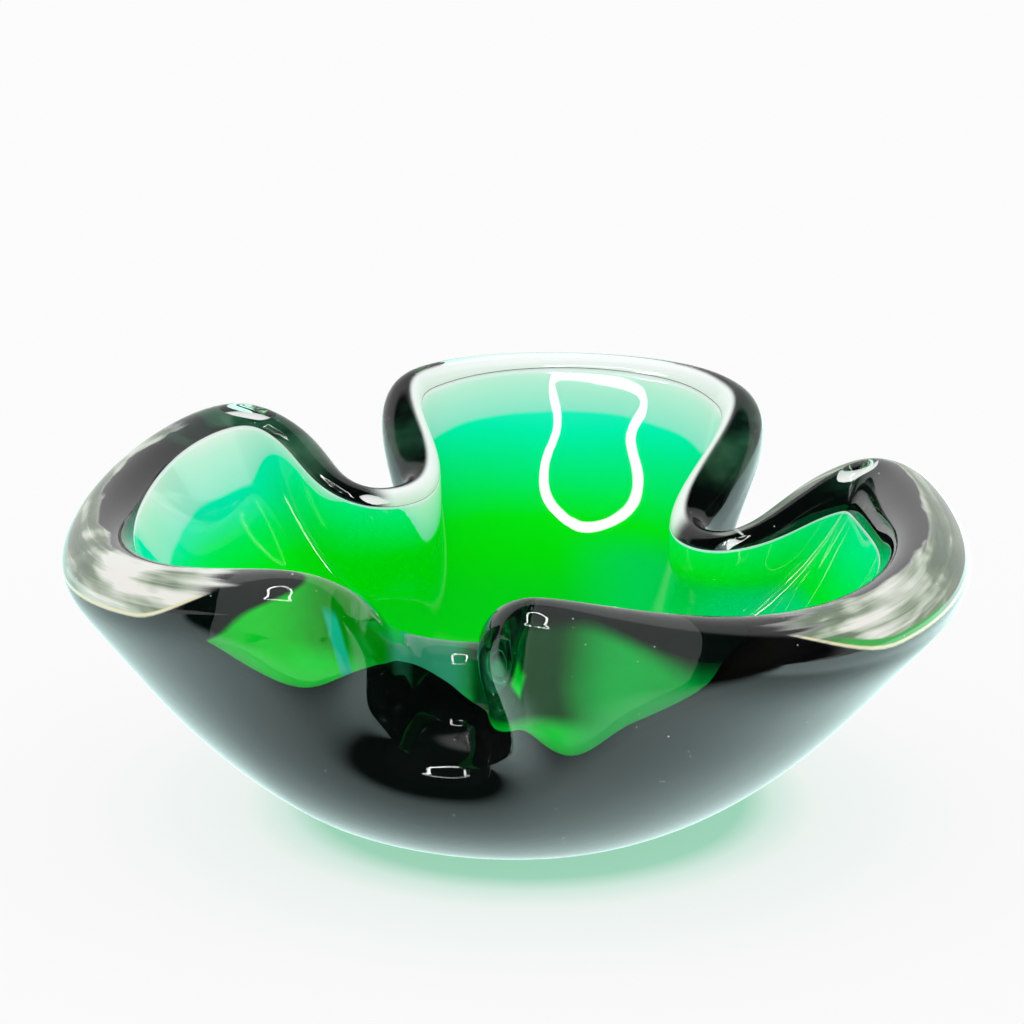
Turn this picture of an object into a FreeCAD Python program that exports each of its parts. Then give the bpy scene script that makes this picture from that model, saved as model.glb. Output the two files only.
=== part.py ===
import FreeCAD, Part
import os
from math import cos, hypot, radians, sin, sqrt

# Art glass bowl: one blown and folded piece of glass, made of three layers that are fused together.
# Frame: origin at the middle of the flat base, +Z up, -Y towards the wide shallow fold at the front.
# Lengths in mm, angles in degrees. The lip follows a three-lobed line with three deep folds pinched into it.

# ---- the lip line
LIP_RADIUS = 85.0        # nominal radius of the lip's middle line
LIP_HEIGHT = 68.0        # nominal height of the lip's middle line
FOLD_LIP = 9.5           # thickness of the glass lip in the valley of a fold
FOLD_LINING = 0.2        # lining drop in the valley of a fold

# Each fold: azimuth, radius and height of its valley, and its two sides (clockwise, then anticlockwise).
# A side is (half width of the throat, roundness of the shoulder, shoulder height, shoulder radius,
# lip thickness at the shoulder, lining drop at the shoulder).
FOLDS = [
    dict(azimuth=-101.0, radius=50.0, height=45.0,
         sides=((14.0, 1.05, 69.0, 86.5, 12.0, 0.2), (12.0, 0.95, 67.5, 87.5, 12.0, 0.2))),
    dict(azimuth=37.0, radius=50.0, height=44.5,
         sides=((11.0, 1.10, 61.0, 85.5, 15.0, 0.9), (11.0, 1.25, 69.0, 82.0, 10.0, 0.2))),
    dict(azimuth=120.0, radius=52.0, height=49.5,
         sides=((11.0, 1.10, 69.5, 82.0, 10.0, 0.2), (12.0, 1.35, 67.0, 84.5, 11.0, 0.2))),
]
# The lobe that follows each fold: (azimuth, radius, height, lip thickness, lining drop) of its middle line.
# The lining drop says where the green lining ends: 0 at the lip's inner shoulder, 1 one wall level lower.
LOBES = [
    [(-62.0, 87.5, 58.5, 13.0, 0.3), (-38.0, 87.5, 58.0, 14.0, 0.35), (-12.0, 84.5, 59.5, 17.0, 0.5),
     (10.0, 83.5, 61.0, 16.0, 0.9)],
    [(62.0, 83.5, 71.0, 10.0, 0.1), (78.0, 84.5, 71.5, 10.0, 0.05), (94.0, 83.5, 71.0, 10.0, 0.1)],
    [(155.0, 84.0, 64.5, 11.5, 0.1), (178.0, 84.0, 61.0, 14.0, 0.2), (-160.0, 85.5, 59.5, 14.0, 0.35),
     (-138.0, 85.5, 63.0, 13.0, 0.3)],
]
# Half a fold seen from above, from its valley out to its shoulder:
# (share of the way across, extra share for a rounder shoulder, share of the way out, share of the way up).
FOLD_STEPS = [(0.55, 0.0, -0.03, 0.05), (0.98, 0.0, 0.20, 0.30), (0.88, 0.12, 0.52, 0.66),
              (0.35, 0.85, 0.84, 0.93), (0.70, 1.25, 1.0, 1.0)]
# Lower down, the same five columns of the wall fan out over these angles either side of the fold.
FOLD_FAN = [3.2, 8.0, 13.5, 19.5, 26.0]
WIDE_FAN = [4.0, 10.5, 18.0, 25.0, 31.0]     # on the clockwise side of the front fold

# ---- the wall, from the flat base up to the lip
# Each level: (radius, height, share of the lip's plan that it follows, share of the lip's rise and fall).
OUTER_LEVELS = [
    (30.0, 0.0, 0.0, 0.0),
    (40.0, 1.5, 0.0, 0.0),
    (52.0, 8.0, 0.0, 0.0),
    (64.0, 18.0, 0.06, 0.02),
    (74.0, 30.0, 0.22, 0.14),
    (81.0, 43.0, 0.60, 0.50),
    (86.5, 54.0, 0.92, 0.92),
    (90.0, 61.0, 1.0, 1.0),
]
INNER_LEVELS = [
    (14.0, 13.0, 0.0, 0.0),
    (26.0, 13.0, 0.0, 0.0),
    (38.0, 17.0, 0.03, 0.02),
    (50.0, 25.0, 0.13, 0.07),
    (61.0, 36.0, 0.38, 0.20),
    (70.0, 47.0, 0.70, 0.48),
    (76.0, 57.0, 0.92, 0.80),
    (80.0, 64.0, 1.0, 1.0),
]
LEVELS_LIP = 10.0        # lip thickness that the two tables are drawn for
SHOULDER_DROP = 0.25     # how much lower the outer shoulder sits for each mm of lip over LEVELS_LIP
# The rounded top of the lip, from outside to inside: (offset across the lip as a share of its thickness,
# height above its middle line, change of that height for each mm of lip over LEVELS_LIP).
CREST = [(0.47, -2.0, -0.30), (0.22, 1.8, -0.12), (-0.18, 2.8, 0.0), (-0.46, 0.8, -0.10)]

# ---- the colour layers, as shares of the wall's thickness counted from the inside
GREEN_SHARE = 0.22
SMOKE_SHARE = 0.38
SMOKE_TOP_SHARE = 0.85   # the smoke layer is thicker where it ends inside the lip
WINDOW_TOP_SHARE = 0.42  # the same share in the front fold
SMOKE_TOP_FADE = 2.0     # over this many wall levels it comes down to SMOKE_SHARE
GREEN_FADE = 1.0         # the green lining thins to nothing over this many levels
SMOKE_TOP = 0.06         # normal depth of the smoke layer's top edge, in wall levels below the lining's edge
# Around the front fold the smoke layer stops lower, so that the green lining shows from outside:
# depth of its top edge in the ten columns of that fold, clockwise shoulder first.
WINDOWS = [2.1, 1.6, 0.95, 0.9, 0.4, 1.9, 2.3, 2.3, 2.0, 3.4]


def polar(azimuth, radial, across=0.0):
    """Point at a radial distance along an azimuth, moved across it."""
    a = radians(azimuth)
    return (radial * cos(a) - across * sin(a), radial * sin(a) + across * cos(a))


def mix(p, q, share):
    """Point a share of the way from p to q."""
    return tuple(a + (b - a) * share for a, b in zip(p, q))


def fold_side(fold, side, sign):
    """Control points of one side of a fold, valley first: x, y, z, azimuth, lip thickness, lining drop."""
    width, roundness, top, shoulder, lip, drop = fold["sides"][side]
    valley = fold["radius"]
    fan = WIDE_FAN if fold is FOLDS[0] and side == 0 else FOLD_FAN
    points = []
    for (narrow, rounded, out, up), turn in zip(FOLD_STEPS, fan):
        across = width * (narrow + rounded * roundness)
        radial = valley + (sqrt(shoulder ** 2 - across ** 2) - valley) * out
        x, y = polar(fold["azimuth"], radial, sign * across)
        z = fold["height"] + (top - fold["height"]) * up
        share = max(0.0, out)
        points.append((x, y, z, fold["azimuth"] + sign * turn,
                       FOLD_LIP + (lip - FOLD_LIP) * share, FOLD_LINING + (drop - FOLD_LINING) * share))
    return points


def lip_line():
    """Closed ring of control points of the lip's middle line, anticlockwise."""
    points = []
    for fold, lobe in zip(FOLDS, LOBES):
        points += fold_side(fold, 0, -1)[::-1]
        points += fold_side(fold, 1, 1)
        for azimuth, radius, height, thickness, drop in lobe:
            points.append(polar(azimuth, radius) + (height, azimuth, thickness, drop))
    return points


def lip_frames():
    """Each lip control point with its outward direction in the horizontal plane."""
    line = lip_line()
    frames = []
    for i, (x, y, z, azimuth, thickness, drop) in enumerate(line):
        x0, y0 = line[i - 1][:2]
        x1, y1 = line[(i + 1) % len(line)][:2]
        length = hypot(x1 - x0, y1 - y0)
        normal = ((y1 - y0) / length, (x0 - x1) / length)
        frames.append(((x, y, z), normal, azimuth, thickness, drop))
    return frames


def wall_column(frame, levels, side):
    """Control points of the wall under one lip point, from the bottom up; side is 1 outside and -1 inside."""
    (x, y, z), normal, azimuth, thickness, drop = frame
    d = polar(azimuth, 1.0)
    nominal = LIP_RADIUS + side * LEVELS_LIP / 2
    shift_x = x + side * normal[0] * thickness / 2 - nominal * d[0]
    shift_y = y + side * normal[1] * thickness / 2 - nominal * d[1]
    return [(radius * d[0] + plan * shift_x, radius * d[1] + plan * shift_y, height + rise * (z - LIP_HEIGHT))
            for radius, height, plan, rise in levels]


def outer_column(frame):
    """Control points of the outer wall; its top one sits lower where the lip is thicker."""
    points = wall_column(frame, OUTER_LEVELS, 1)
    x, y, z = points[-1]
    points[-1] = (x, y, z - SHOULDER_DROP * (frame[3] - LEVELS_LIP))
    return points


def crest_column(frame):
    """Control points over the rounded top of the lip, from outside to inside."""
    (x, y, z), normal, azimuth, thickness, drop = frame
    over = thickness - LEVELS_LIP
    return [(x + normal[0] * thickness * share, y + normal[1] * thickness * share, z + rise + per_mm * over)
            for share, rise, per_mm in CREST]


FRAMES = lip_frames()
OUTER = [outer_column(frame) for frame in FRAMES]
INNER = [wall_column(frame, INNER_LEVELS, -1) for frame in FRAMES]
CRESTS = [crest_column(frame) for frame in FRAMES]
COLUMNS = range(len(FRAMES))
TOP = len(OUTER_LEVELS) - 1    # index of the top wall level


def between(points, depth):
    """Point at a depth, counted in wall levels, on a column of points that runs downward."""
    low = min(int(depth), TOP - 1)
    return mix(points[low], points[low + 1], depth - low)


def inner_point(c, depth):
    """Point on the inner wall of column c; depth 0 is the lining's top edge, TOP is the bottom."""
    edge = mix(CRESTS[c][-1], INNER[c][TOP - 1], FRAMES[c][4])
    return between([edge] + INNER[c][TOP - 1::-1], depth)


def outer_point(c, depth):
    """Point close under the outer wall of column c; depth 0 is the lip's outer shoulder."""
    return between([CRESTS[c][0]] + OUTER[c][TOP - 1::-1], depth)


def layer_point(c, depth, share):
    """Point inside the wall, a share of the way from the inner to the outer surface."""
    return mix(inner_point(c, depth), outer_point(c, depth), share)


def green_share(depth):
    """Share of the wall that is green lining at a depth."""
    return GREEN_SHARE * min(1.0, depth / GREEN_FADE)


def smoke_top(c):
    """Depth of the smoke layer's top edge in column c."""
    return WINDOWS[c] if c < len(WINDOWS) else SMOKE_TOP


def smoke_share(c, depth):
    """Share of the wall up to the outside of the smoke layer in column c."""
    fade = max(0.0, 1.0 - (depth - smoke_top(c)) / SMOKE_TOP_FADE)
    top_share = WINDOW_TOP_SHARE if c < len(WINDOWS) else SMOKE_TOP_SHARE
    return SMOKE_SHARE + (top_share - SMOKE_SHARE) * fade


def ring(rule):
    """Closed row of control points, one for each column."""
    return [FreeCAD.Vector(*rule(c)) for c in COLUMNS]


def skin(rows):
    """Smooth surface through closed rows of control points; its first and last rows are its edges."""
    degree = min(3, len(rows) - 1)
    inside = len(rows) - degree - 1
    surface = Part.BSplineSurface()
    poles = [[row[c] for row in rows] for c in COLUMNS]
    v_mults = [degree + 1] + [1] * inside + [degree + 1]
    u_knots = [float(k) for k in range(len(poles) + 1)]
    v_knots = [float(k) for k in range(inside + 2)]
    u_mults = [1] * len(u_knots)
    surface.buildFromPolesMultsKnots(poles, u_mults, v_mults, u_knots, v_knots, True, False, 3, degree)
    return surface.toShape()


def disc(row):
    """Flat face inside a closed row of control points."""
    curve = Part.BSplineCurve()
    knots = [float(k) for k in range(len(row) + 1)]
    curve.buildFromPolesMultsKnots(row, [1] * len(knots), knots, True, 3)
    return Part.Face(Part.Wire([curve.toShape()]))


def solid(faces):
    """Closed solid from faces that share their edges."""
    shell = Part.Shell(faces)
    shell.sewShape()
    body = Part.Solid(shell)
    if body.Volume < 0:
        body.reverse()
    return body


# ---- the surfaces
lining_edge = ring(lambda c: inner_point(c, 0.0))
outer_rows = [ring(lambda c, k=k: OUTER[c][k]) for k in range(TOP + 1)]
outer_rows += [ring(lambda c, k=k: CRESTS[c][k]) for k in range(len(CREST))]
outside = skin(outer_rows + [lining_edge])
inner_rows = [ring(lambda c, k=k: inner_point(c, float(k))) for k in range(TOP + 1)]
inside = skin(inner_rows)

# green lining against clear glass, from the lining's edge down to the smoke layer's top edge
STEPS = 3
upper_rows = []
for step in range(STEPS + 1):
    row = []
    for c in COLUMNS:
        depth = smoke_top(c) * step / STEPS
        row.append(FreeCAD.Vector(*layer_point(c, depth, green_share(depth))))
    upper_rows.append(row)
green_clear = skin(upper_rows)

# the two sides of the smoke layer, from its top edge down to the bottom
green_rows = []
smoke_rows = []
for step in range(TOP + 1):
    green_row = []
    smoke_row = []
    for c in COLUMNS:
        depth = smoke_top(c) + (TOP - smoke_top(c)) * step / TOP
        green_row.append(FreeCAD.Vector(*layer_point(c, depth, green_share(depth))))
        smoke_row.append(FreeCAD.Vector(*layer_point(c, depth, smoke_share(c, depth))))
    green_rows.append(green_row)
    smoke_rows.append(smoke_row)
green_smoke = skin(green_rows)
smoke_clear = skin(smoke_rows)
smoke_edge = skin([smoke_rows[0], green_rows[0]])

# ---- the three layers
base = disc(outer_rows[0])
smoke_floor = disc(smoke_rows[-1])
green_floor = disc(green_rows[-1])
NODES = {
    "clear_casing": solid([outside, base, green_clear, smoke_edge, smoke_clear, smoke_floor]),
    "smoke_layer": solid([smoke_edge, smoke_clear, green_smoke, smoke_floor, green_floor]),
    "green_lining": solid([green_clear, green_smoke, inside, green_floor, disc(inner_rows[-1])]),
}

os.makedirs("parts", exist_ok=True)
for name, shape in NODES.items():
    shape.exportStep("parts/%s.step" % name)
    box = shape.BoundBox
    print(name, shape.isValid(), shape.isClosed(), round(shape.Volume / 1000.0, 1), "cm3",
          [round(v, 1) for v in (box.XMin, box.XMax, box.YMin, box.YMax, box.ZMin, box.ZMax)])
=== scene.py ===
import math

import bpy
import numpy as np
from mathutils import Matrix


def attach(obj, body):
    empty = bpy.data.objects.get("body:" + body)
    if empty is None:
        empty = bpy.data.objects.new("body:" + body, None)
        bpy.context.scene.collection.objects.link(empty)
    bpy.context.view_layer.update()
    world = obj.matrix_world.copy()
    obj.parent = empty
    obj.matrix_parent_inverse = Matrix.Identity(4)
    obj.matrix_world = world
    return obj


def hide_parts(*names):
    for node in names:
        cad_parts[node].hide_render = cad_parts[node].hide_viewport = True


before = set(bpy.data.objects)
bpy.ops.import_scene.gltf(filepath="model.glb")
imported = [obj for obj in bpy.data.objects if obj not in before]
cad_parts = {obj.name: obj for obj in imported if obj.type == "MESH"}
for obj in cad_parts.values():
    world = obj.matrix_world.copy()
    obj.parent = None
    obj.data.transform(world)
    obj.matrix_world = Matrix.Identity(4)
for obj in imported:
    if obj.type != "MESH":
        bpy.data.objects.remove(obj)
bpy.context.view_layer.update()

# Looks of the art glass bowl: three closed surfaces of glass, one inside the other, on the same dimensions
# as the CAD, and then the floor, the light and the camera. Tables are in mm and degrees, the scene in metres.
MM = 0.001

# ---- the lip line
LIP_RADIUS = 85.0        # nominal radius of the lip's middle line
LIP_HEIGHT = 68.0        # nominal height of the lip's middle line
FOLD_LIP = 9.5           # thickness of the glass lip in the valley of a fold
FOLD_LINING = 0.2        # lining drop in the valley of a fold

# Each fold: azimuth, radius and height of its valley, and its two sides (clockwise, then anticlockwise).
# A side is (half width of the throat, roundness of the shoulder, shoulder height, shoulder radius,
# lip thickness at the shoulder, lining drop at the shoulder).
FOLDS = [
    dict(azimuth=-101.0, radius=50.0, height=45.0,
         sides=((14.0, 1.05, 69.0, 86.5, 12.0, 0.2), (12.0, 0.95, 67.5, 87.5, 12.0, 0.2))),
    dict(azimuth=37.0, radius=50.0, height=44.5,
         sides=((11.0, 1.10, 61.0, 85.5, 15.0, 0.9), (11.0, 1.25, 69.0, 82.0, 10.0, 0.2))),
    dict(azimuth=120.0, radius=52.0, height=49.5,
         sides=((11.0, 1.10, 69.5, 82.0, 10.0, 0.2), (12.0, 1.35, 67.0, 84.5, 11.0, 0.2))),
]
# The lobe that follows each fold: (azimuth, radius, height, lip thickness, lining drop) of its middle line.
# The lining drop says where the green lining ends: 0 at the lip's inner shoulder, 1 one wall level lower.
LOBES = [
    [(-62.0, 87.5, 58.5, 13.0, 0.3), (-38.0, 87.5, 58.0, 14.0, 0.35), (-12.0, 84.5, 59.5, 17.0, 0.5),
     (10.0, 83.5, 61.0, 16.0, 0.9)],
    [(62.0, 83.5, 71.0, 10.0, 0.1), (78.0, 84.5, 71.5, 10.0, 0.05), (94.0, 83.5, 71.0, 10.0, 0.1)],
    [(155.0, 84.0, 64.5, 11.5, 0.1), (178.0, 84.0, 61.0, 14.0, 0.2), (-160.0, 85.5, 59.5, 14.0, 0.35),
     (-138.0, 85.5, 63.0, 13.0, 0.3)],
]
# Half a fold seen from above, from its valley out to its shoulder:
# (share of the way across, extra share for a rounder shoulder, share of the way out, share of the way up).
FOLD_STEPS = [(0.55, 0.0, -0.03, 0.05), (0.98, 0.0, 0.20, 0.30), (0.88, 0.12, 0.52, 0.66),
              (0.35, 0.85, 0.84, 0.93), (0.70, 1.25, 1.0, 1.0)]
# Lower down, the same five columns of the wall fan out over these angles either side of the fold.
FOLD_FAN = [3.2, 8.0, 13.5, 19.5, 26.0]
WIDE_FAN = [4.0, 10.5, 18.0, 25.0, 31.0]     # on the clockwise side of the front fold

# ---- the wall, from the flat base up to the lip
# Each level: (radius, height, share of the lip's plan that it follows, share of the lip's rise and fall).
OUTER_LEVELS = [
    (30.0, 0.0, 0.0, 0.0),
    (40.0, 1.5, 0.0, 0.0),
    (52.0, 8.0, 0.0, 0.0),
    (64.0, 18.0, 0.06, 0.02),
    (74.0, 30.0, 0.22, 0.14),
    (81.0, 43.0, 0.60, 0.50),
    (86.5, 54.0, 0.92, 0.92),
    (90.0, 61.0, 1.0, 1.0),
]
INNER_LEVELS = [
    (14.0, 13.0, 0.0, 0.0),
    (26.0, 13.0, 0.0, 0.0),
    (38.0, 17.0, 0.03, 0.02),
    (50.0, 25.0, 0.13, 0.07),
    (61.0, 36.0, 0.38, 0.20),
    (70.0, 47.0, 0.70, 0.48),
    (76.0, 57.0, 0.92, 0.80),
    (80.0, 64.0, 1.0, 1.0),
]
LEVELS_LIP = 10.0        # lip thickness that the two tables are drawn for
SHOULDER_DROP = 0.25     # how much lower the outer shoulder sits for each mm of lip over LEVELS_LIP
# The rounded top of the lip, from outside to inside: (offset across the lip as a share of its thickness,
# height above its middle line, change of that height for each mm of lip over LEVELS_LIP).
CREST = [(0.47, -2.0, -0.30), (0.22, 1.8, -0.12), (-0.18, 2.8, 0.0), (-0.46, 0.8, -0.10)]

# ---- the colour layers, as shares of the wall's thickness counted from the inside
GREEN_SHARE = 0.22
SMOKE_SHARE = 0.38
SMOKE_TOP_SHARE = 0.85   # the smoke layer is thicker where it ends inside the lip
WINDOW_TOP_SHARE = 0.42  # the same share in the front fold
SMOKE_TOP_FADE = 2.0     # over this many wall levels it comes down to SMOKE_SHARE
GREEN_FADE = 1.0         # the green lining thins to nothing over this many levels
SMOKE_TOP = 0.06         # normal depth of the smoke layer's top edge, in wall levels below the lining's edge
# Around the front fold the smoke layer stops lower, so that the green lining shows from outside:
# depth of its top edge in the ten columns of that fold, clockwise shoulder first.
WINDOWS = [2.1, 1.6, 0.95, 0.9, 0.4, 1.9, 2.3, 2.3, 2.0, 3.4]

# ---- how finely the surfaces are drawn
ROUND = 480              # points round each ring
PER_LEVEL = 9            # rings between two levels of the wall
FINE_PER_LEVEL = 60      # the same for the surfaces that the layers are measured between
EDGE_RINGS = 5           # rings across the smoke layer's top edge


def polar(azimuth, radial, across=0.0):
    """Point at a radial distance along an azimuth, moved across it."""
    a = math.radians(azimuth)
    return (radial * math.cos(a) - across * math.sin(a), radial * math.sin(a) + across * math.cos(a))


def fold_side(fold, side, sign):
    """Control points of one side of a fold, valley first: x, y, z, azimuth, lip thickness, lining drop."""
    width, roundness, top, shoulder, lip, drop = fold["sides"][side]
    valley = fold["radius"]
    fan = WIDE_FAN if fold is FOLDS[0] and side == 0 else FOLD_FAN
    points = []
    for (narrow, rounded, out, up), turn in zip(FOLD_STEPS, fan):
        across = width * (narrow + rounded * roundness)
        radial = valley + (math.sqrt(shoulder ** 2 - across ** 2) - valley) * out
        x, y = polar(fold["azimuth"], radial, sign * across)
        z = fold["height"] + (top - fold["height"]) * up
        share = max(0.0, out)
        points.append((x, y, z, fold["azimuth"] + sign * turn,
                       FOLD_LIP + (lip - FOLD_LIP) * share, FOLD_LINING + (drop - FOLD_LINING) * share))
    return points


def lip_line():
    """Closed ring of control points of the lip's middle line, anticlockwise."""
    points = []
    for fold, lobe in zip(FOLDS, LOBES):
        points += fold_side(fold, 0, -1)[::-1]
        points += fold_side(fold, 1, 1)
        for azimuth, radius, height, thickness, drop in lobe:
            points.append(polar(azimuth, radius) + (height, azimuth, thickness, drop))
    return np.array(points)


LINE = lip_line()
COUNT = len(LINE)
XY = LINE[:, :2]
HEIGHT = LINE[:, 2]
AZIMUTH = LINE[:, 3]
THICK = LINE[:, 4]
LINING_DROP = LINE[:, 5]
AHEAD = np.roll(XY, -1, 0) - np.roll(XY, 1, 0)
NORMAL = np.stack([AHEAD[:, 1], -AHEAD[:, 0]], 1) / np.linalg.norm(AHEAD, axis=1)[:, None]
RADIAL = np.stack([np.cos(np.radians(AZIMUTH)), np.sin(np.radians(AZIMUTH))], 1)


def wall(levels, side):
    """Rings of control points of the wall, from the bottom up; side is 1 outside and -1 inside."""
    shift = XY + side * NORMAL * THICK[:, None] / 2 - (LIP_RADIUS + side * LEVELS_LIP / 2) * RADIAL
    return [np.column_stack([radius * RADIAL + plan * shift, height + rise * (HEIGHT - LIP_HEIGHT)])
            for radius, height, plan, rise in levels]


OVER = THICK - LEVELS_LIP
OUTER = wall(OUTER_LEVELS, 1)
OUTER[-1][:, 2] -= SHOULDER_DROP * OVER
INNER = wall(INNER_LEVELS, -1)
CRESTS = [np.column_stack([XY + NORMAL * THICK[:, None] * share, HEIGHT + rise + over * OVER])
          for share, rise, over in CREST]
TOP = len(OUTER_LEVELS) - 1
EDGE = CRESTS[-1] + (INNER[TOP - 1] - CRESTS[-1]) * LINING_DROP[:, None]
INSIDE_DOWN = np.stack([EDGE] + INNER[TOP - 1::-1])      # level, column, xyz from the lining's edge down
OUTSIDE_DOWN = np.stack([CRESTS[0]] + OUTER[TOP - 1::-1])


def green_share(depth):
    """Where the green lining ends in the wall, at a depth in levels below its edge."""
    return GREEN_SHARE * np.minimum(1.0, depth / GREEN_FADE)


def smoke_share(depth, top, top_share):
    """Where the smoke layer ends in the wall, for a layer whose top edge is at depth top."""
    return SMOKE_SHARE + (top_share - SMOKE_SHARE) * np.maximum(0.0, 1.0 - (depth - top) / SMOKE_TOP_FADE)


def smoke_top():
    """Depth of the smoke layer's top edge at each column."""
    depth = np.full(COUNT, SMOKE_TOP)
    depth[:len(WINDOWS)] = WINDOWS
    return depth


def closed_weights(count, samples):
    """Weights of a closed uniform cubic B-spline: samples x count."""
    t = np.arange(samples) * count / samples
    i = t.astype(int)
    f = t - i
    weights = np.zeros((samples, count))
    shares = ((1 - f) ** 3 / 6,
              (3 * f ** 3 - 6 * f ** 2 + 4) / 6,
              (-3 * f ** 3 + 3 * f ** 2 + 3 * f + 1) / 6,
              f ** 3 / 6)
    for k, part in enumerate(shares):
        np.add.at(weights, (np.arange(samples), (i - 1 + k) % count), part)
    return weights


def open_weights(count, samples):
    """Weights of a clamped cubic (or lower) B-spline with evenly spaced knots: samples x count."""
    degree = min(3, count - 1)
    spans = count - degree
    knots = np.concatenate([np.zeros(degree), np.arange(spans + 1), np.full(degree, spans)])
    t = np.linspace(0, spans, samples)
    basis = np.zeros((samples, len(knots) - 1))
    span = np.minimum(t.astype(int), spans - 1) + degree
    basis[np.arange(samples), span] = 1.0
    for d in range(1, degree + 1):
        following = np.zeros((samples, len(knots) - 1 - d))
        for k in range(len(knots) - 1 - d):
            for low, high, sign in ((k, k + d, 1), (k + 1, k + d + 1, -1)):
                width = knots[high] - knots[low]
                if width > 0:
                    start = t - knots[low] if sign > 0 else knots[high] - t
                    following[:, k] += start / width * basis[:, k if sign > 0 else k + 1]
        basis = following
    return basis


CLOSED = closed_weights(COUNT, ROUND)


def surface(rings, samples):
    """Grid of points (samples x ROUND x 3), in mm, of the smooth surface through rings of control points."""
    return np.einsum("vr,uc,rcx->vux", open_weights(len(rings), samples), CLOSED, np.stack(rings))


FINE = FINE_PER_LEVEL * TOP + 1
FINE_INSIDE = surface(INSIDE_DOWN, FINE)
FINE_OUTSIDE = surface(OUTSIDE_DOWN, FINE)
# Where each level's control points act most along the smooth curve down the wall, from 0 to 1.
THIRD = 1.0 / 3.0
SPANS = TOP - 2
LEVEL_AT = np.array([0.0, THIRD] + list(range(1, SPANS)) + [SPANS - THIRD, SPANS]) / SPANS


def layer(depth, share):
    """Points inside the wall, at depths in levels below the lining's edge and shares from the inside out."""
    t = np.interp(depth, np.arange(TOP + 1), LEVEL_AT) * (FINE - 1)
    low = np.minimum(t.astype(int), FINE - 2)
    part = (t - low)[:, :, None]
    u = np.arange(ROUND)[None, :]
    inner = FINE_INSIDE[low, u] * (1 - part) + FINE_INSIDE[low + 1, u] * part
    outer = FINE_OUTSIDE[low, u] * (1 - part) + FINE_OUTSIDE[low + 1, u] * part
    return inner + (outer - inner) * share[:, :, None]


def mesh_object(name, grids, caps, values=None):
    """Closed mesh from grids that meet end to end, with flat caps at its first and last rings."""
    rows = [row for n, grid in enumerate(grids) for row in (grid if n == 0 else grid[1:])]
    verts = np.concatenate(rows)
    faces = []
    for k in range(len(rows) - 1):
        for u in range(ROUND):
            v = (u + 1) % ROUND
            a = k * ROUND
            faces.append((a + u, a + v, a + ROUND + v, a + ROUND + u))
    for end, turned in caps:
        ring = (end % len(rows)) * ROUND
        centre = len(verts)
        verts = np.vstack([verts, verts[ring:ring + ROUND].mean(axis=0)])
        for u in range(ROUND):
            v = (u + 1) % ROUND
            faces.append((ring + v, ring + u, centre) if turned else (ring + u, ring + v, centre))
    mesh = bpy.data.meshes.new(name)
    mesh.from_pydata([tuple(p) for p in verts * MM], [], faces)
    mesh.polygons.foreach_set("use_smooth", [True] * len(mesh.polygons))
    for label, per_row in (values or {}).items():
        attribute = mesh.attributes.new(label, "FLOAT", "POINT")
        data = np.concatenate([per_row.reshape(-1), np.zeros(len(verts) - per_row.size)])
        attribute.data.foreach_set("value", data.astype(np.float32))
    mesh.update()
    piece = bpy.data.objects.new(name, mesh)
    bpy.context.scene.collection.objects.link(piece)
    return piece


def smooth(value, low, high):
    """0 below low and 1 above high, with a smooth step between."""
    t = np.clip((value - low) / (high - low), 0.0, 1.0)
    return t * t * (3.0 - 2.0 * t)


def sector(azimuth, low, high, soft):
    """1 in a range of azimuths, fading to 0 over soft degrees outside it."""
    middle = (low + high) / 2
    half = (high - low) / 2
    turn = abs((azimuth - middle + 180.0) % 360.0 - 180.0)
    return 1.0 - smooth(turn, half, half + soft)


def padded(values, before, after):
    """Rows of values with rows of 0 before and after them."""
    return np.concatenate([np.zeros((before, ROUND)), values, np.zeros((after, ROUND))])


def ring_steps(grid):
    """Distance in mm from each ring of a grid to the next one, all the way round."""
    return np.linalg.norm(np.diff(grid, axis=0), axis=2)


def azimuths(grid):
    """Azimuth of each point of a grid, from -180 to 180 degrees."""
    return np.degrees(np.arctan2(grid[:, :, 1], grid[:, :, 0]))


# ---- the layers, as grids of points that run down from the lining's edge, apart from OUTSIDE
DOWN = np.linspace(0.0, 1.0, TOP * PER_LEVEL)[:, None]
WHOLE = DOWN * TOP * np.ones(ROUND)
WINDOW = CLOSED @ smoke_top()                                     # depth of the smoke layer's top edge
TOP_SHARE = CLOSED @ np.where(np.arange(COUNT) < len(WINDOWS), WINDOW_TOP_SHARE, SMOKE_TOP_SHARE)
OUTSIDE = surface(OUTER + CRESTS + [EDGE], (TOP + len(CRESTS)) * PER_LEVEL)   # from the base up over the lip
INSIDE = layer(WHOLE, 0.0 * WHOLE)
CASING_INSIDE = layer(WHOLE, green_share(WHOLE) * 0.5)            # hidden in the middle of the lining
UPPER = np.linspace(0.0, 1.0, 2 * PER_LEVEL)[:, None] * WINDOW    # depths above the smoke layer
LOWER = WINDOW + (TOP - WINDOW) * DOWN                            # depths beside it
GREEN_BACK = layer(UPPER, green_share(UPPER))
GREEN_SMOKE = layer(LOWER, green_share(LOWER))
SMOKE_CLEAR = layer(LOWER, smoke_share(LOWER, WINDOW, TOP_SHARE))

CREST_WIDTH = (4.0, 5.2)     # mm from the lining's edge over which the crest's painted white ends
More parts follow.
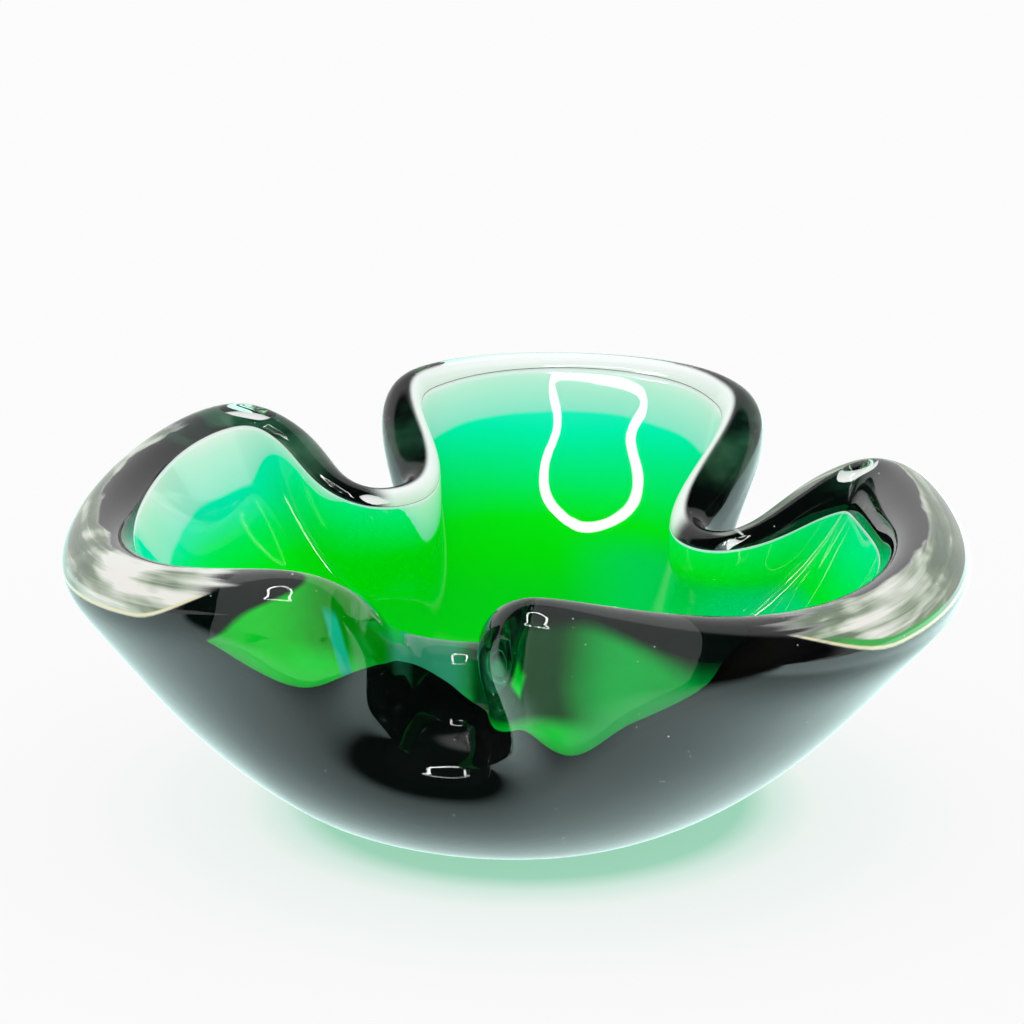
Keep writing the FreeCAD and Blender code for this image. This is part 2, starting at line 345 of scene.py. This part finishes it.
# The streaked band of painted light in the lip, in mm across the lip from the lining's edge.
STREAKS_FROM = 0.55          # where it begins, as a share of the lip's thickness
STREAKS_LOWER = 11.0         # how much further out for each level of lining drop over LOW_EDGE
LOW_EDGE = 0.3
STREAKS_NEAR = 4.0           # how much nearer outside the side lobes
STREAKS_PAST = 7.0           # how far past the lip's thickness it ends
STREAKS_SHORT = 9.0          # how much less far outside the side lobes
SEAM = 90.0                  # azimuth where the pattern along the lip starts again, under the crest's painted white
PALE_EDGE = 0.6              # width in mm of the lining's pale edge, and how much wider it is in two lobes, where it is a painted reflection
PALE_REFLECTION_BACK = 10.4
PALE_REFLECTION_LEFT = 12.5
HIDDEN_DEPTH = 9.0           # depth in levels given to the lining's back where the smoke layer covers it


def casing_piece():
    """Clear casing: the whole outer skin with the lip, closed by a skin that is hidden in the lining."""
    azimuth = azimuths(OUTSIDE)
    across = padded(ring_steps(OUTSIDE[::-1]).cumsum(axis=0), 1, 0)[::-1]     # mm from the lining's edge
    along = np.radians(np.where(azimuth > SEAM, azimuth - 360.0, azimuth)) * LIP_RADIUS
    lip = CLOSED @ THICK
    side_lobes = np.maximum(sector(azimuth, 164.0, 220.0, 22.0), sector(azimuth, -40.0, 14.0, 26.0))
    begin = (STREAKS_FROM * lip + STREAKS_LOWER * np.maximum(CLOSED @ LINING_DROP - LOW_EDGE, 0.0)
             - STREAKS_NEAR * (1.0 - side_lobes))
    finish = lip + STREAKS_PAST - STREAKS_SHORT * (1.0 - side_lobes)
    values = {
        "across": across,
        "along": along,
        "streak": (across - begin) / (finish - begin),
        "side_lobes": side_lobes,
        # bright: extra painted light in the lip's streaked band, in two sectors
        "bright": 0.16 * sector(azimuth, -150.0, -130.0, 8.0) + 0.06 * sector(azimuth, -44.0, -30.0, 10.0),
        # The crest at the back, painted white for the backdrop's light seen through its clear glass.
        "crest_painted_light": sector(azimuth, 46.0, 122.0, 6.0) * (1.0 - smooth(across, *CREST_WIDTH)),
    }
    values = {label: padded(value, 0, len(CASING_INSIDE) - 1) for label, value in values.items()}
    return mesh_object("glass_casing", [OUTSIDE, CASING_INSIDE], [(0, True), (-1, False)], values)


def smoke_piece():
    """Smoke layer: its outer surface, its top edge and its inner surface."""
    thin = np.linspace(0.0, 1.0, EDGE_RINGS)[:, None, None]
    edge = SMOKE_CLEAR[0] + (GREEN_SMOKE[0] - SMOKE_CLEAR[0]) * thin
    grid = np.concatenate([SMOKE_CLEAR[::-1], edge[1:], GREEN_SMOKE[1:]])
    return mesh_object("smoke_glass", [grid], [(0, True), (-1, False)])


def lining_piece():
    """Green lining: its back from the bottom up to its edge, and its inner surface down again."""
    back = np.concatenate([GREEN_BACK, GREEN_SMOKE[1:]])[::-1]
    front = INSIDE[1:]
    azimuth = azimuths(front)
    below = ring_steps(INSIDE).cumsum(axis=0)
    # How far down the pale edge reaches: further in the back and left lobes, where it is a painted reflection
    # of bright light.
    pale_depth = (PALE_EDGE + PALE_REFLECTION_BACK * sector(azimuth, 56.0, 112.0, 10.0)
                  + PALE_REFLECTION_LEFT * sector(azimuth, 142.0, 178.0, 10.0))
    hidden = np.full((len(GREEN_SMOKE) - 1, ROUND), HIDDEN_DEPTH)
    columns = np.repeat((np.arange(ROUND) * COUNT / ROUND)[None, :], len(back), axis=0)
    columns[columns > COUNT / 2] -= COUNT
    return mesh_object("green_glass", [np.concatenate([back, front])], [(0, True), (-1, False)], {
        "pale": padded(below / pale_depth, len(back), 0),
        "behind": padded(np.ones(back.shape[:2]), 0, len(front)),
        "back_depth": padded(np.concatenate([UPPER, hidden])[::-1], 0, len(front)),
        "column": padded(columns, 0, len(front)),
    })


casing = casing_piece()
smoke = smoke_piece()
lining = lining_piece()
for piece, node in ((casing, "clear_casing"), (smoke, "smoke_layer"), (lining, "green_lining")):
    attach(piece, "root")
    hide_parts(node)


# ---- materials
class Graph:
    """Short names for the nodes of a material or a world."""

    def __init__(self, owner):
        owner.use_nodes = True
        self.owner = owner
        self.nodes = owner.node_tree.nodes
        self.links = owner.node_tree.links

    def feed(self, socket, value):
        """Link a socket to another one, or give it a number or a colour."""
        if isinstance(value, bpy.types.NodeSocket):
            self.links.new(value, socket)
        elif isinstance(value, tuple):
            socket.default_value = (*value, 1.0)
        else:
            socket.default_value = value

    def set(self, **values):
        """Feed sockets of the main shader, with _ for each space in their names."""
        for name, value in values.items():
            self.feed(self.nodes["Principled BSDF"].inputs[name.replace("_", " ")], value)

    def attribute(self, name):
        node = self.nodes.new("ShaderNodeAttribute")
        node.attribute_name = name
        return node.outputs["Fac"]

    def position(self):
        return self.nodes.new("ShaderNodeNewGeometry").outputs["Position"]

    def split(self, vector):
        """The x, y and z of a vector."""
        node = self.nodes.new("ShaderNodeSeparateXYZ")
        self.feed(node.inputs["Vector"], vector)
        return node.outputs["X"], node.outputs["Y"], node.outputs["Z"]

    def vector(self, x, y, z):
        node = self.nodes.new("ShaderNodeCombineXYZ")
        for socket, value in zip(node.inputs, (x, y, z)):
            self.feed(socket, value)
        return node.outputs["Vector"]

    def math(self, operation, a, b=0.0, c=0.0, clamp=False):
        node = self.nodes.new("ShaderNodeMath")
        node.operation = operation
        node.use_clamp = clamp
        for socket, value in zip(node.inputs, (a, b, c)):
            self.feed(socket, value)
        return node.outputs["Value"]

    def plus(self, a, b):
        return self.math("ADD", a, b)

    def minus(self, a, b):
        return self.math("SUBTRACT", a, b)

    def times(self, a, b):
        return self.math("MULTIPLY", a, b)

    def greater(self, a, b):
        return self.math("MAXIMUM", a, b)

    def scaled(self, value, scale, offset):
        return self.math("MULTIPLY_ADD", value, scale, offset)

    def away(self, value, middle):
        """Distance of a value from a middle one."""
        return self.math("ABSOLUTE", self.minus(value, middle))

    def step(self, value, low, high):
        """0 at low and 1 at high, smoothly; low may be the greater."""
        if low > high:
            return self.minus(1.0, self.step(value, high, low))
        node = self.nodes.new("ShaderNodeMapRange")
        node.interpolation_type = "SMOOTHSTEP"
        self.feed(node.inputs["Value"], value)
        node.inputs["From Min"].default_value = low
        node.inputs["From Max"].default_value = high
        return node.outputs["Result"]

    def between(self, value, low, low_full, high_full, high):
        """1 from low_full to high_full, fading to 0 at low and at high."""
        return self.times(self.step(value, low, low_full), self.step(value, high, high_full))

    def noise(self, vector, scale, detail=2.0, distortion=0.0):
        node = self.nodes.new("ShaderNodeTexNoise")
        self.feed(node.inputs["Vector"], vector)
        node.inputs["Scale"].default_value = scale
        node.inputs["Detail"].default_value = detail
        node.inputs["Distortion"].default_value = distortion
        return node.outputs["Fac"]

    def specks(self, vector, scale, size, share):
        """Small dots: 1 inside a dot; share is the part of the cells that have one."""
        node = self.nodes.new("ShaderNodeTexVoronoi")
        self.feed(node.inputs["Vector"], vector)
        node.inputs["Scale"].default_value = scale
        dot = self.math("LESS_THAN", node.outputs["Distance"], size)
        parts = self.nodes.new("ShaderNodeSeparateColor")
        self.links.new(node.outputs["Color"], parts.inputs["Color"])
        return self.times(dot, self.math("LESS_THAN", parts.outputs["Red"], share))

    def mix(self, factor, a, b, kind="RGBA"):
        """Colour from a to b, or number where kind is FLOAT."""
        node = self.nodes.new("ShaderNodeMix")
        node.data_type = kind
        for name, value in (("Factor", factor), ("A", a), ("B", b)):
            self.feed(node.inputs[name], value)
        return node.outputs["Result"]

    def ramp(self, value, stops):
        """Colour along a ramp with the stops (position, colour)."""
        node = self.nodes.new("ShaderNodeValToRGB")
        elements = node.color_ramp.elements
        while len(elements) < len(stops):
            elements.new(0.5)
        for element, (position, colour) in zip(elements, stops):
            element.position = position
            element.color = (*colour, 1.0)
        self.feed(node.inputs["Fac"], value)
        return node.outputs["Color"]

    def waves(self, vector, strength=1.0):
        """Very shallow unevenness of hand-worked glass."""
        node = self.nodes.new("ShaderNodeBump")
        self.feed(node.inputs["Height"], self.noise(vector, WAVE_SCALE, 1.0))
        node.inputs["Distance"].default_value = WAVE_HEIGHT * strength
        self.set(Normal=node.outputs["Normal"])


def material_graph(name):
    return Graph(bpy.data.materials.new(name))


BLACK = (0.0, 0.0, 0.0)
WHITE = (1.0, 1.0, 1.0)
# Painted white light of the backdrop, over the crest at the back.
BACKDROP_WHITE = (0.97, 1.0, 1.0)
DUST = (0.85, 0.88, 0.86)
CREAM = (0.95, 0.90, 0.55)
SMOKE = (0.003, 0.009, 0.007)
SMOKE_BROWN = (0.010, 0.008, 0.008)
GLASS_IOR = 1.5
CASING_TINT = (0.72, 0.92, 0.80)
CASING_DENSITY = 14.0        # absorption per metre of the clear glass
THROUGH_LIGHT = 0.2          # light that comes through the lining from the inside
WAVE_SCALE = 28.0            # waves per metre in the glass's surface
WAVE_HEIGHT = 0.00012        # their height in metres


def lip_painted_light(clear):
    """Painted light in the lip of the side lobes, streaked like glints and ending in a painted bright line:
    its colour, and 1 where it is.
    """
    along = clear.attribute("along")
    across = clear.attribute("across")
    streak = clear.attribute("streak")
    long_cells = clear.vector(clear.times(along, 0.022), clear.times(across, 0.55), 0.0)     # cells per mm
    round_cells = clear.vector(clear.times(along, 0.05), clear.times(across, 0.13), 3.0)
    long_noise = clear.noise(long_cells, 1.0, 4.0, 0.4)
    patch = clear.noise(round_cells, 1.0, 2.0, 0.6)
    ragged = clear.plus(streak, clear.scaled(patch, 0.5, -0.25))
    zone = clear.times(clear.step(ragged, 0.02, 0.10), clear.step(streak, 1.04, 1.0))
    ends = clear.plus(clear.attribute("side_lobes"), clear.times(long_noise, 1.2))
    zone = clear.times(zone, clear.step(ends, 0.80, 1.15))
    glassy = clear.plus(clear.times(long_noise, 0.45), clear.times(patch, 0.55))
    colour = clear.ramp(clear.plus(glassy, clear.attribute("bright")), [
        (0.42, (0.11, 0.17, 0.11)),
        (0.53, (0.20, 0.27, 0.17)),
        (0.59, (0.52, 0.60, 0.47)),
        (0.68, (1.0, 1.0, 0.93)),
    ])
    low_edge = clear.step(streak, 0.84, 0.88)
    sliver = clear.times(low_edge, clear.between(along, -80.0, -70.0, -46.0, -38.0))
    colour = clear.mix(sliver, colour, (0.02, 0.48, 0.05))
    # A painted bright line where the band of painted light ends.
    rim_line = clear.times(zone, clear.step(streak, 0.95, 0.98))
    return clear.mix(rim_line, colour, CREAM), zone


def casing_glass():
    """Clear glass, with streaked painted light in the lip of the side lobes, a crest at the back painted
    white for the backdrop's light seen through it, and dust.
    """
    clear = material_graph("clear_casing_glass")
    where = clear.position()
    # Painted light streaked through the lip of the side lobes.
    lip_light, zone = lip_painted_light(clear)
    # The crest at the back is painted white: light of the white backdrop seen through clear glass.
    crest = clear.attribute("crest_painted_light")
    dust = clear.greater(clear.specks(where, 230.0, 0.045, 0.35), clear.specks(where, 430.0, 0.05, 0.3))
    colour = clear.mix(zone, WHITE, lip_light)
    colour = clear.mix(crest, colour, BACKDROP_WHITE)
    colour = clear.mix(dust, colour, DUST)
    paint = clear.greater(clear.times(zone, 0.80), clear.times(crest, 0.95))
    paint = clear.greater(paint, clear.times(dust, 0.8))
    clear.set(Base_Color=colour, Transmission_Weight=clear.math("SUBTRACT", 1.0, paint, clamp=True))
    clear.set(Roughness=0.0, IOR=GLASS_IOR)
    clear.waves(where)
    absorb = clear.nodes.new("ShaderNodeVolumeAbsorption")
    clear.feed(absorb.inputs["Color"], CASING_TINT)
    clear.feed(absorb.inputs["Density"], CASING_DENSITY)
    clear.links.new(absorb.outputs["Volume"], clear.nodes["Material Output"].inputs["Volume"])
    return clear.owner


def smoke_glass():
    """Nearly black glass, faintly green and brown by turns; in the lip at the two back folds dark green, with
    lighter greens that are a painted highlight.
    """
    dark = material_graph("smoke_layer_glass")
    where = dark.position()
    _, y, z = dark.split(where)
    shade = dark.ramp(dark.noise(where, 18.0, 3.0), [(0.35, SMOKE), (0.65, SMOKE_BROWN)])
    # Dark green glass, with lighter greens that are a painted highlight on the lip at the back folds.
    green_and_highlight = dark.ramp(dark.noise(where, 70.0, 3.0), [
        (0.40, (0.007, 0.035, 0.022)),
        (0.55, (0.05, 0.20, 0.11)),
        (0.67, (0.14, 0.36, 0.21)),
    ])
    back_fold_lip = dark.times(dark.step(z, 0.050, 0.060), dark.between(y, 0.030, 0.042, 0.060, 0.072))
    dark.set(Base_Color=dark.mix(back_fold_lip, shade, green_and_highlight), Roughness=0.3, Specular_IOR_Level=0.0)
    return dark.owner


def lining_inside(green, where):
    """Colour of the lining's inner surface: pale at its edge, with a wider painted reflection in the back and
    left lobes, turquoise, then green towards the bottom.
    """
    x, _, z = green.split(where)
    cloud = green.scaled(green.noise(where, 20.0, 3.0), 0.20, -0.10)
    body = green.ramp(green.plus(green.scaled(z, -25.0, 1.65), cloud), [
        (0.0, (0.03, 1.0, 0.78)),
        (0.20, (0.0, 1.0, 0.56)),
        (0.36, (0.0, 0.95, 0.31)),
        (0.55, (0.0, 0.92, 0.09)),
        (0.66, (0.0, 0.90, 0.008)),
        (0.82, (0.0, 0.84, 0.002)),
        (1.0, (0.0, 0.74, 0.01)),
    ])
    left_side = green.times(green.step(x, -0.046, -0.060), green.step(z, 0.044, 0.052))
    body = green.mix(left_side, body, (0.0, 0.95, 0.56))
    cool = green.times(green.step(x, 0.008, 0.028), green.step(z, 0.041, 0.033))
    body = green.mix(cool, body, (0.0, 0.76, 0.12))
    cooler = green.times(green.step(x, 0.033, 0.044), green.step(z, 0.039, 0.034))
    body = green.mix(cooler, body, (0.0, 0.80, 0.28))
    # Pale at the edge, and a painted reflection of bright light in the back and left lobes.
    pale = green.plus(green.attribute("pale"), green.scaled(green.noise(where, 30.0, 2.0), 0.5, -0.25))
    edge_and_reflection = green.ramp(pale, [(0.0, (0.92, 1.0, 0.97)), (0.25, (0.64, 0.98, 0.87)), (0.9, (0.36, 0.93, 0.78))])
    return green.mix(green.step(pale, 1.0, 0.90), body, edge_and_reflection)


def lining_leaves(green, where):
    """Colour of the lining's back, which shows from outside as a leaf on each shoulder of the front fold.

    Places on it are columns of the lip line and depths in wall levels below the lining's edge.
    """
    column = green.attribute("column")
    depth = green.attribute("back_depth")
    left_leaf = green.step(column, -0.4, 1.0)
    right_leaf = green.step(column, 4.3, 4.9)
    leaf = green.mix(green.noise(where, 45.0, 2.0), (0.0, 0.90, 0.002), (0.0, 0.88, 0.09))
    leaf = green.mix(green.times(left_leaf, green.step(depth, 1.25, 0.85)), leaf, (0.0, 0.42, 0.004))
    leaf = green.mix(green.times(right_leaf, green.step(column, 8.6, 9.2)), leaf, (0.0, 0.64, 0.085))
    # A turquoise stripe across the left leaf: a painted reflection.
    reflected_stripe = green.step(green.away(green.plus(column, green.times(depth, -0.45)), 0.80), 0.20, 0.10)
    reflected_stripe = green.times(reflected_stripe, green.step(depth, 0.35, 0.55))
    leaf = green.mix(green.times(reflected_stripe, green.step(column, 3.0, 2.5)), leaf, (0.01, 0.72, 0.42))
    spot = green.plus(green.away(column, 7.9), green.away(depth, 1.05))
    shade = green.times(right_leaf, green.times(green.step(depth, 2.3, 1.8), green.step(column, 9.35, 8.75)))
    leaf = green.mix(green.times(shade, green.step(spot, 0.20, 0.45)), leaf, (0.0, 0.075, 0.013))
    leaf = green.mix(green.between(column, 2.2, 2.8, 4.3, 4.8), leaf, (0.05, 0.50, 0.27))
    rise = green.times(green.step(column, 9.0, 9.9), 0.5)
    top = green.times(right_leaf, green.step(green.minus(depth, rise), 0.50, 0.22))
    slant = green.plus(depth, green.times(column, 0.55))
    return green.mix(green.greater(top, green.step(slant, 0.48, 0.40)), leaf, SMOKE)


def lining_glass():
    """Green glass; its back has a little light of its own."""
    green = material_graph("green_lining_glass")
    where = green.position()
    inside = lining_inside(green, where)
    leaves = lining_leaves(green, where)
    behind = green.step(green.attribute("behind"), 0.80, 0.98)
    green.set(Base_Color=green.mix(behind, inside, leaves), Roughness=0.02, IOR=GLASS_IOR)
    green.set(Emission_Color=green.mix(behind, BLACK, leaves), Emission_Strength=THROUGH_LIGHT)
    green.waves(where, 0.5)
    return green.owner


casing.data.materials.append(casing_glass())
smoke.data.materials.append(smoke_glass())
lining.data.materials.append(lining_glass())

# ---- floor, light and camera
FLOOR_FRONT = -0.30          # the floor ends here in front, so that the dark of the room shows in the glass
FLOOR_SIZE = 4.0
GLARE_SIZE = 0.5
GLARE_LIFT = 0.0004          # height of the glare over the floor
GLARE_FRONT = (-0.086, -0.066)
GLARE_SIDE = (0.105, 0.15)
GLARE_COLOUR = (0.76, 1.0, 0.97)
GLARE_STRENGTH = 1.35
GLARE_SIDE_STRENGTH = 1.5    # what the glare gains on the right
GLOW_SHIFT = 0.003           # how far right of the bowl's middle the painted green light and shadow lie
GLOW_RADIUS = 0.09
LAMP_DISTANCE = 0.9
LAMP_THICKNESS = 0.018
LAMP_STRENGTH = 26.0
LAMP_THIN = (28.0, 0.4)      # below this elevation the lamp's tube has this share of its thickness
# The lamp's frame as control points: degrees to the right of the camera's side, and elevation.
LAMP = [
    (-9.0, 27.0), (-20.0, 27.0), (-32.0, 26.5), (-44.0, 25.5),
    (-43.0, 29.0), (-40.5, 33.0), (-45.0, 39.0), (-50.0, 44.5),
    (-52.0, 50.5), (-45.0, 57.5), (-29.0, 58.5), (-15.0, 54.5),
    (-11.0, 48.0), (-12.0, 41.0), (-15.0, 34.0), (-12.0, 30.0),
]
ROOM_FRONT = (-0.10, -0.96, 0.26)     # direction of the dark part of the room
CAMERA_DISTANCE = 0.600
CAMERA_ELEVATION = math.radians(16.0)
CAMERA_AIM = (-0.0005, 0.0, 0.060)
CAMERA_LENS = 106.3


def flat_sheet(name, left, right, front, back, height, material):
    """Flat rectangle parallel to the floor, outside the model."""
    mesh = bpy.data.meshes.new(name)
    corners = [(left, front, height), (right, front, height), (right, back, height), (left, back, height)]
    mesh.from_pydata(corners, [], [(0, 1, 2, 3)])
    mesh.materials.append(material)
    sheet = bpy.data.objects.new(name, mesh)
    bpy.context.scene.collection.objects.link(sheet)
    return sheet


def only_reflected(thing):
    """Let a staged thing show in reflections and nowhere else."""
    for ray in ("camera", "diffuse", "transmission", "shadow"):
        setattr(thing, "visible_" + ray, False)


def floor_white():
    """White that is lit from within, so that it stays even, with painted green light and a painted
    green-tinted shadow round the foot of the bowl.
    """
    white = material_graph("floor_white")
    shift = white.nodes.new("ShaderNodeMapping")
    shift.vector_type = "TEXTURE"
    shift.inputs["Location"].default_value = (GLOW_SHIFT, 0.0, 0.0)
    shift.inputs["Scale"].default_value = (GLOW_RADIUS, GLOW_RADIUS, 1.0)
    white.feed(shift.inputs["Vector"], white.position())
    glow = white.nodes.new("ShaderNodeTexGradient")
    glow.gradient_type = "SPHERICAL"
    white.feed(glow.inputs["Vector"], shift.outputs["Vector"])
    # Painted green light and a painted green-tinted shadow, darkest next to the foot of the bowl.
    colour = white.ramp(glow.outputs["Fac"], [
        (0.0, WHITE),
        (0.11, (0.97, 1.0, 0.985)),
        (0.36, (0.91, 0.98, 0.945)),
        (0.45, (0.70, 0.90, 0.80)),
        (0.52, (0.36, 0.72, 0.52)),
    ])
    white.set(Base_Color=(0.09, 0.09, 0.09), Roughness=0.9, Specular_IOR_Level=0.0)
    white.set(Emission_Color=colour, Emission_Strength=0.875)
    return white.owner


def floor_glare():
    """Glow of the white floor that the dark glass reflects: strongest on the right, none in front."""
    shine = material_graph("floor_glare")
    x, y, _ = shine.split(shine.position())
    side = shine.plus(shine.times(shine.step(x, *GLARE_SIDE), GLARE_SIDE_STRENGTH), GLARE_STRENGTH)
    forward = shine.plus(y, shine.times(shine.greater(x, 0.0), 0.4))
    strength = shine.times(side, shine.step(forward, *GLARE_FRONT))
    shine.set(Base_Color=BLACK, Specular_IOR_Level=0.0)
    shine.set(Emission_Color=GLARE_COLOUR, Emission_Strength=strength)
    return shine.owner


def lamp_glow():
    glow = material_graph("lamp_glow")
    glow.set(Base_Color=BLACK, Emission_Color=WHITE, Emission_Strength=LAMP_STRENGTH)
    return glow.owner


def direction(side, elevation):
    """Unit vector: side in degrees, 0 towards the camera's side and positive to the right."""
    a = math.radians(side)
    e = math.radians(elevation)
    return (math.cos(e) * math.sin(a), -math.cos(e) * math.cos(a), math.sin(e))


def frame_lamp():
    """Lamp in the shape of a frame, up in front of the bowl."""
    curve = bpy.data.curves.new("lamp", "CURVE")
    curve.dimensions = "3D"
    curve.bevel_depth = LAMP_THICKNESS
    spline = curve.splines.new("NURBS")
    spline.points.add(len(LAMP) - 1)
    thin_below, thin_share = LAMP_THIN
    for point, (side, elevation) in zip(spline.points, LAMP):
        point.co = (*[LAMP_DISTANCE * v for v in direction(side, elevation)], 1.0)
        point.radius = thin_share if elevation < thin_below else 1.0
    spline.use_cyclic_u = True
    spline.order_u = 4
    spline.resolution_u = 16
    curve.materials.append(lamp_glow())
    thing = bpy.data.objects.new("lamp", curve)
    thing.location = (0.0, 0.03, 0.055)
    bpy.context.scene.collection.objects.link(thing)
    return thing


def studio_world():
    """Even white light from all round; in reflections the room is dark in front and bright elsewhere."""
    world = bpy.data.worlds.new("studio")
    bpy.context.scene.world = world
    room = Graph(world)
    facing = room.nodes.new("ShaderNodeVectorMath")
    facing.operation = "DOT_PRODUCT"
    facing.inputs[1].default_value = ROOM_FRONT
    room.feed(facing.inputs[0], room.nodes.new("ShaderNodeTexCoord").outputs["Generated"])
    rays = room.nodes.new("ShaderNodeLightPath")
    reflected = room.mix(room.step(facing.outputs["Value"], -0.05, 0.10), 0.95, 0.02, "FLOAT")
    strength = room.mix(rays.outputs["Is Glossy Ray"], 1.05, reflected, "FLOAT")
    strength = room.mix(rays.outputs["Is Camera Ray"], strength, 0.965, "FLOAT")
    background = room.nodes["Background"]
    room.feed(background.inputs["Color"], WHITE)
    room.feed(background.inputs["Strength"], strength)


def add_camera():
    data = bpy.data.cameras.new("camera")
    data.sensor_width = 36.0
    data.lens = CAMERA_LENS
    data.dof.use_dof = False
    data.clip_start = 0.01
    camera = bpy.data.objects.new("camera", data)
    x, y, z = CAMERA_AIM
    camera.location = (x, y - CAMERA_DISTANCE * math.cos(CAMERA_ELEVATION),
                       z + CAMERA_DISTANCE * math.sin(CAMERA_ELEVATION))
    camera.rotation_euler = (math.radians(90.0) - CAMERA_ELEVATION, 0.0, 0.0)
    bpy.context.scene.collection.objects.link(camera)
    bpy.context.scene.camera = camera


floor = flat_sheet("floor", -FLOOR_SIZE, FLOOR_SIZE, FLOOR_FRONT, FLOOR_SIZE, 0, floor_white())
glare = flat_sheet("glare", -GLARE_SIZE, GLARE_SIZE, FLOOR_FRONT, GLARE_SIZE, GLARE_LIFT, floor_glare())
only_reflected(glare)
lamp = frame_lamp()
only_reflected(lamp)
studio_world()
add_camera()

scene = bpy.context.scene
scene.view_settings.view_transform = "Standard"
scene.view_settings.look = "None"
scene.cycles.max_bounces = 24
scene.cycles.transmission_bounces = 20
scene.cycles.glossy_bounces = 8
scene.cycles.diffuse_bounces = 5

bpy.context.view_layer.update()
